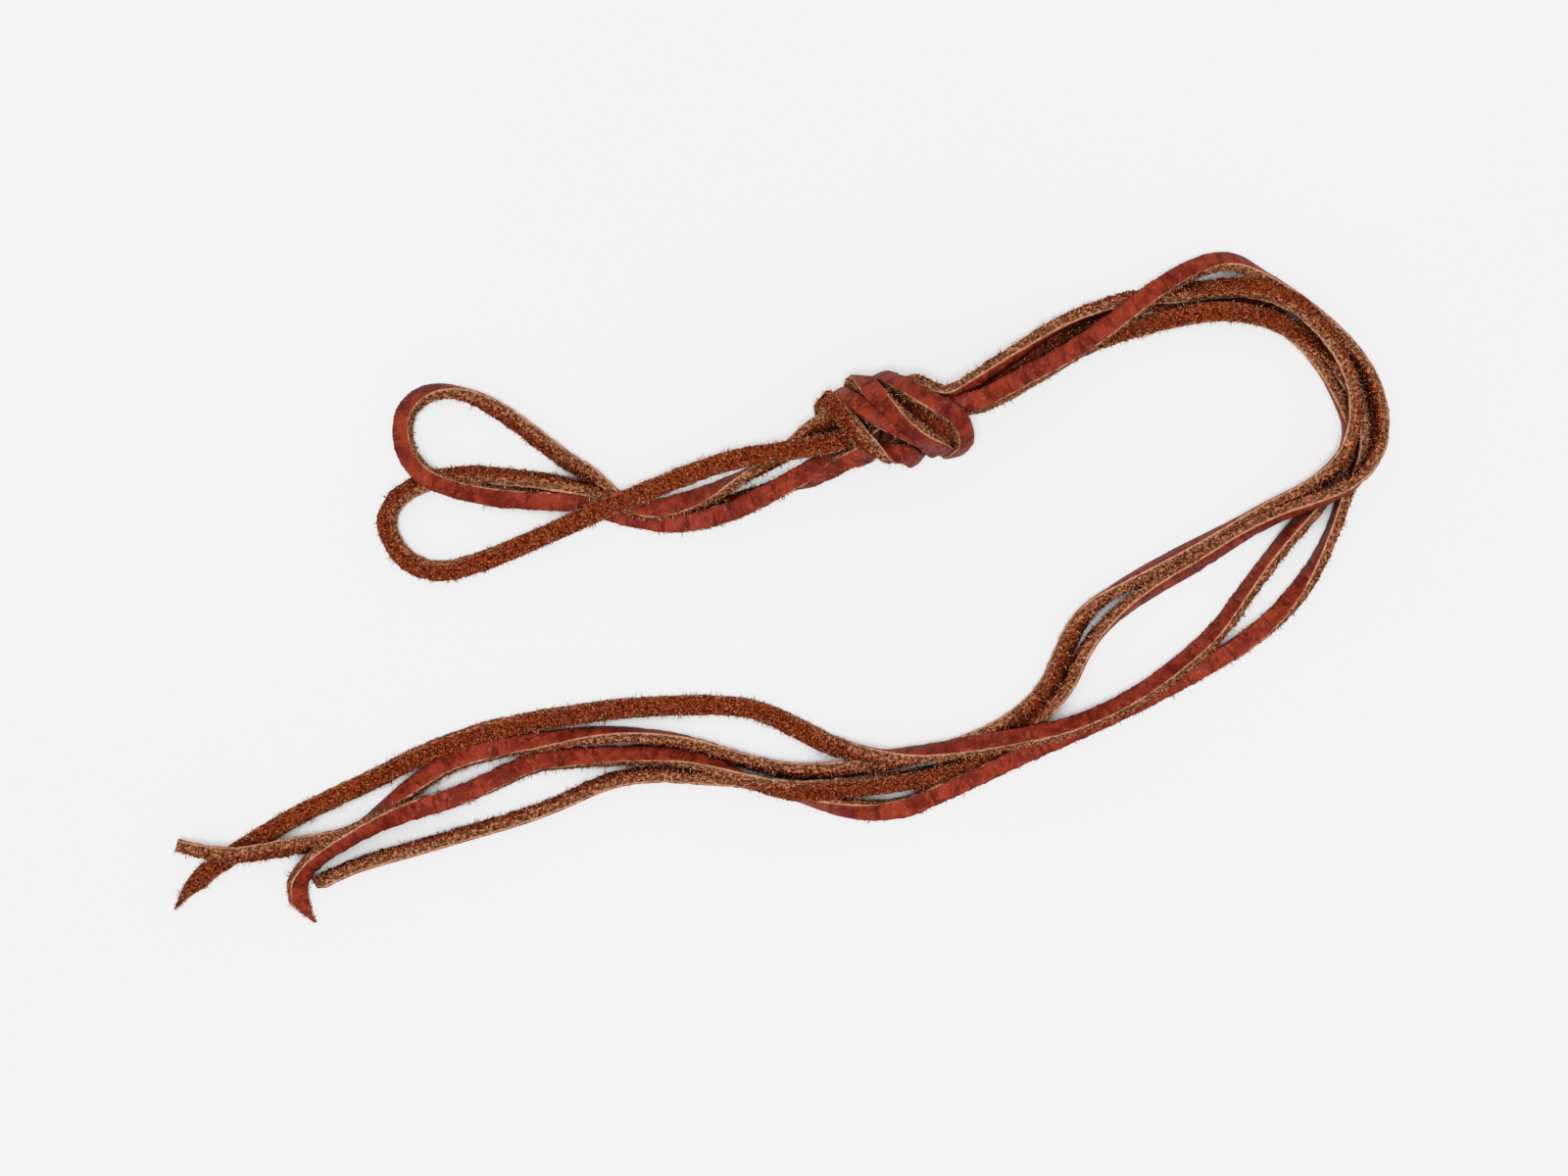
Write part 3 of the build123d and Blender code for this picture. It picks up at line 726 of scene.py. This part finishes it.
def grain_leather():
    """Smooth red-brown grain, with fine pores, cloudy dyed colour and creases across; painted shade
    darkens the folds and the gaps between strands.
    """
    n = Nodes("grain_leather")
    place, strip = n.place(), n.strip_map()
    cloud = n.noise(place, 300, detail=5, roughness=0.6)
    patch = n.noise(place, 1100, detail=3, roughness=0.6)
    folds = n.noise(n.stretched(strip, (8, 2.4, 1)), 1.0, detail=3, distortion=0.6)
    fold = n.ramp(folds, 0.54, 0.66)
    pores = n.add("ShaderNodeTexVoronoi", feature="DISTANCE_TO_EDGE")
    n.put(place, pores.inputs["Vector"])
    pores.inputs["Scale"].default_value = 2200
    pore = n.ramp(pores.outputs["Distance"], 0.0, 0.16)
    dye_and_shade = n.mix(n.ramp(cloud, 0.38, 0.62), srgb(122, 34, 17), srgb(166, 60, 35))
    dye_and_shade = n.mix(n.times(n.ramp(patch, 0.52, 0.70), 0.5), dye_and_shade, srgb(190, 98, 74))
    # Painted shade: darker in the fold valleys, where the bump below makes creases.
    dye_and_shade = n.mix(n.times(fold, 0.6), dye_and_shade, srgb(84, 20, 12))
    dye_and_shade = n.mix(n.times(n.less(1.0, pore), 0.25), dye_and_shade, srgb(90, 24, 14))
    rough = n.math("ADD", 0.40, n.times(patch, 0.22))
    normal = n.bump(n.less(1.0, fold), 0.00025, 0.8)
    normal = n.bump(pore, 0.00004, 0.6, normal)
    normal = n.bump(patch, 0.0003, 0.7, normal)
    normal = n.bump(cloud, 0.0006, 0.7, normal)
    # Painted shade: darker in the gaps between strands, where shade falls.
    dye_and_shade = n.with_painted_shade(dye_and_shade, srgb(34, 4, 2), LEATHER_PAINTED_SHADE)
    return n.finish(dye_and_shade, rough, normal, specular=0.14)


def edge_leather():
    """The cut edge: a pale line under the grain, a dark streaky core, then fuzz."""
    n = Nodes("edge_leather")
    place, strip = n.place(), n.strip_map()
    split = n.add("ShaderNodeSeparateXYZ")
    n.put(strip, split.inputs["Vector"])
    reach = n.math("ABSOLUTE", split.outputs["Y"], None)
    wander = n.noise(n.stretched(strip, (5, 14, 1)), 2.0, detail=3)
    reach = n.math("ADD", reach, n.times(n.less(wander, 0.5), BAND_WANDER))
    rim = WIDTH / 2 * MAP_PER_METRE
    core, fuzz = (n.ramp(reach, rim + low, rim + high) for low, high in (CORE_START, FUZZ_START))
    streaks = n.noise(n.stretched(strip, (9, 60, 1)), 1.5, detail=5, roughness=0.7)
    speck = n.noise(place, 1900, detail=4, roughness=0.7)
    dark = n.mix(n.ramp(streaks, 0.47, 0.56), srgb(26, 8, 3), srgb(188, 118, 80))
    dark = n.mix(n.times(n.ramp(speck, 0.51, 0.60), 0.85), dark, srgb(236, 168, 126))
    tan = n.mix(n.ramp(speck, 0.35, 0.65), srgb(206, 132, 94), srgb(244, 184, 144))
    orange = n.mix(n.ramp(speck, 0.46, 0.57), srgb(90, 28, 10), srgb(234, 138, 90))
    colour = n.mix(fuzz, n.mix(core, tan, dark), orange)
    normal = n.bump(streaks, 0.0003, 0.9)
    normal = n.bump(speck, 0.0003, 0.8, normal)
    # Painted shade: the edge is darkened in the gaps between strands, where shade falls.
    colour = n.with_painted_shade(colour, srgb(26, 4, 1), EDGE_PAINTED_SHADE)
    return n.finish(colour, 0.9, normal, specular=0.05)


def flesh_leather():
    """The rough flesh side: orange-brown nap and pale specks, darker in its hollows, partly its own
    tone and partly painted shade, and painted shade in the gaps between strands.
    """
    n = Nodes("flesh_leather")
    place = n.place()
    tufts = n.noise(place, 1900, detail=4, roughness=0.7, distortion=0.5)
    specks = n.noise(place, 3000, detail=3, roughness=0.7)
    cloud = n.noise(place, 180, detail=3)
    # Darker in the hollows of the bump below: partly the flesh's own tone, partly painted shade.
    colour = n.mix(n.ramp(tufts, 0.42, 0.57), srgb(76, 16, 2), srgb(158, 62, 26))
    colour = n.mix(n.times(n.ramp(specks, 0.56, 0.64), 0.9), colour, srgb(228, 144, 96))
    colour = n.mix(n.times(n.ramp(cloud, 0.48, 0.7), 0.3), colour, srgb(96, 28, 6))
    normal = n.bump(tufts, 0.0005, 0.9)
    normal = n.bump(specks, 0.0002, 0.8, normal)
    # Painted shade: darker in the gaps between strands, where shade falls.
    colour = n.with_painted_shade(colour, srgb(30, 3, 0), LEATHER_PAINTED_SHADE)
    return n.finish(colour, 0.95, normal, specular=0.03)


def nap_leather(name, dark, light, gaps):
    """One dyed colour of the fibres, from its darker places to its lighter ones, with painted shade
    in the gaps between strands.
    """
    n = Nodes(name)
    shade = n.noise(n.place(), 2000, detail=3, roughness=0.65)
    colour = n.mix(n.ramp(shade, 0.40, 0.60), dark, light)
    normal = n.bump(shade, 0.0002, 0.5)
    # Painted shade: the fibres go dark in the gaps between strands, where shade falls.
    colour = n.with_painted_shade(colour, srgb(40, 6, 0), gaps)
    return n.finish(colour, 0.85, normal, specular=0.05)


def floor_paper():
    """Pale paper with a painted glow that lifts the shadows on it; painted shade takes its colour
    and its glow away in the gaps between strands.
    """
    n = Nodes("floor_paper")
    cloud = n.noise(n.place(), 6, detail=2)
    colour = n.mix(cloud, *(grey(level) for level in FLOOR_GREYS))
    # Painted shade: the floor goes dark in the gaps between strands, where shade falls.
    colour = n.with_painted_shade(colour, (0.02, 0.006, 0.004, 1), FLOOR_PAINTED_SHADE)
    # Painted glow, taken away in the same gaps.
    glow = n.with_painted_shade(grey(1), grey(0), FLOOR_PAINTED_SHADE)
    n.put(glow, n.shader.inputs["Emission Color"])
    n.shader.inputs["Emission Strength"].default_value = FLOOR_GLOW
    normal = n.bump(n.noise(n.place(), 900, detail=2), 0.00003, 0.1)
    return n.finish(colour, 0.9, normal, specular=0.0)


# --- The view: camera first, then the cords ---------------------------------

def add_camera():
    data = bpy.data.cameras.new("camera")
    data.lens = LENS_MM
    data.sensor_width = SENSOR_MM
    data.clip_start, data.clip_end = 0.01, 10
    camera = in_scene("camera", data)
    camera.location = (*VIEW_CENTRE, VIEW_WIDTH * LENS_MM / SENSOR_MM)
    bpy.context.scene.camera = camera


def add_lace(name, route, nodes, seed):
    """One lace with its nap, in place of its tubes of the CAD."""
    random = np.random.default_rng(seed)
    strip = Strip(route, END_CUTS[name])
    lace = strip_mesh(name, strip, random, STRIP_MATERIALS)
    pile = fibre_mesh(f"{name}_pile", strip, random, PILE_MATERIALS, PILE, bent=False)
    strays = fibre_mesh(f"{name}_strays", strip, random, STRAY_MATERIALS, STRAYS, bent=True)
    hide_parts(*nodes)
    for piece in (lace, pile, strays):
        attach(piece, "root")
    print(f"{name}: {strip.along[-1]:.4f} m, {len(strip.centres)} rings")


add_camera()
STRIP_MATERIALS = {
    "grain": grain_leather(),
    "edge": edge_leather(),
    "flesh": flesh_leather(),
}
PILE_MATERIALS = [
    nap_leather("nap_brown", srgb(126, 42, 16), srgb(186, 84, 46), PILE_PAINTED_SHADE),
    nap_leather("nap_orange", srgb(184, 92, 54), srgb(252, 184, 140), PILE_PAINTED_SHADE),
    nap_leather("nap_dark", srgb(56, 10, 0), srgb(120, 42, 16), PILE_PAINTED_SHADE),
]
STRAY_MATERIALS = [
    nap_leather("stray_brown", srgb(140, 62, 32), srgb(200, 108, 68), STRAY_PAINTED_SHADE),
    nap_leather("stray_orange", srgb(196, 112, 70), srgb(248, 182, 138), STRAY_PAINTED_SHADE),
    nap_leather("stray_tan", srgb(214, 146, 104), srgb(252, 206, 168), STRAY_PAINTED_SHADE),
]
add_lace(
    "lace_1",
    joined(backwards(free_route(LACE_1_TAIL_A)), backwards(knot_route(KNOT_STRANDS[0])),
           free_route(LACE_1_BIGHT), knot_route(KNOT_STRANDS[2]), free_route(LACE_1_TAIL_B)),
    ["lace_1_tail_a", "lace_1_knot_a", "lace_1_bight", "lace_1_knot_b", "lace_1_tail_b"],
    seed=11,
)
add_lace(
    "lace_2",
    joined(backwards(free_route(LACE_2_TAIL_A)), backwards(knot_route(KNOT_STRANDS[1])),
           free_route(LACE_2_BIGHT), knot_route(KNOT_STRANDS[3]), free_route(LACE_2_TAIL_B)),
    ["lace_2_tail_a", "lace_2_knot_a", "lace_2_bight", "lace_2_knot_b", "lace_2_tail_b"],
    seed=12,
)


# --- Floor and light --------------------------------------------------------

def add_floor():
    mesh = bpy.data.meshes.new("floor")
    corners = [(FLOOR_HALF * x, FLOOR_HALF * y, 0) for x, y in ((-1, -1), (1, -1), (1, 1), (-1, 1))]
    mesh.from_pydata(corners, [], [(0, 1, 2, 3)])
    mesh.materials.append(floor_paper())
    floor = in_scene("floor", mesh)


def add_sun():
    """Soft light, the same over the whole floor."""
    data = bpy.data.lights.new("sun", "SUN")
    data.angle = math.radians(SUN_SPREAD_DEGREES)
    data.energy = SUN_STRENGTH
    light = in_scene("sun", data)
    light.rotation_mode = "QUATERNION"
    light.rotation_quaternion = Vector(SUN_FROM).to_track_quat("Z", "Y")


def add_sky():
    world = bpy.data.worlds.new("studio")
    world.use_nodes = True
    background = world.node_tree.nodes["Background"]
    background.inputs["Color"].default_value = grey(1)
    background.inputs["Strength"].default_value = SKY_STRENGTH
    bpy.context.scene.world = world


add_floor()
add_sun()
add_sky()
bpy.context.scene.view_settings.view_transform = "Standard"
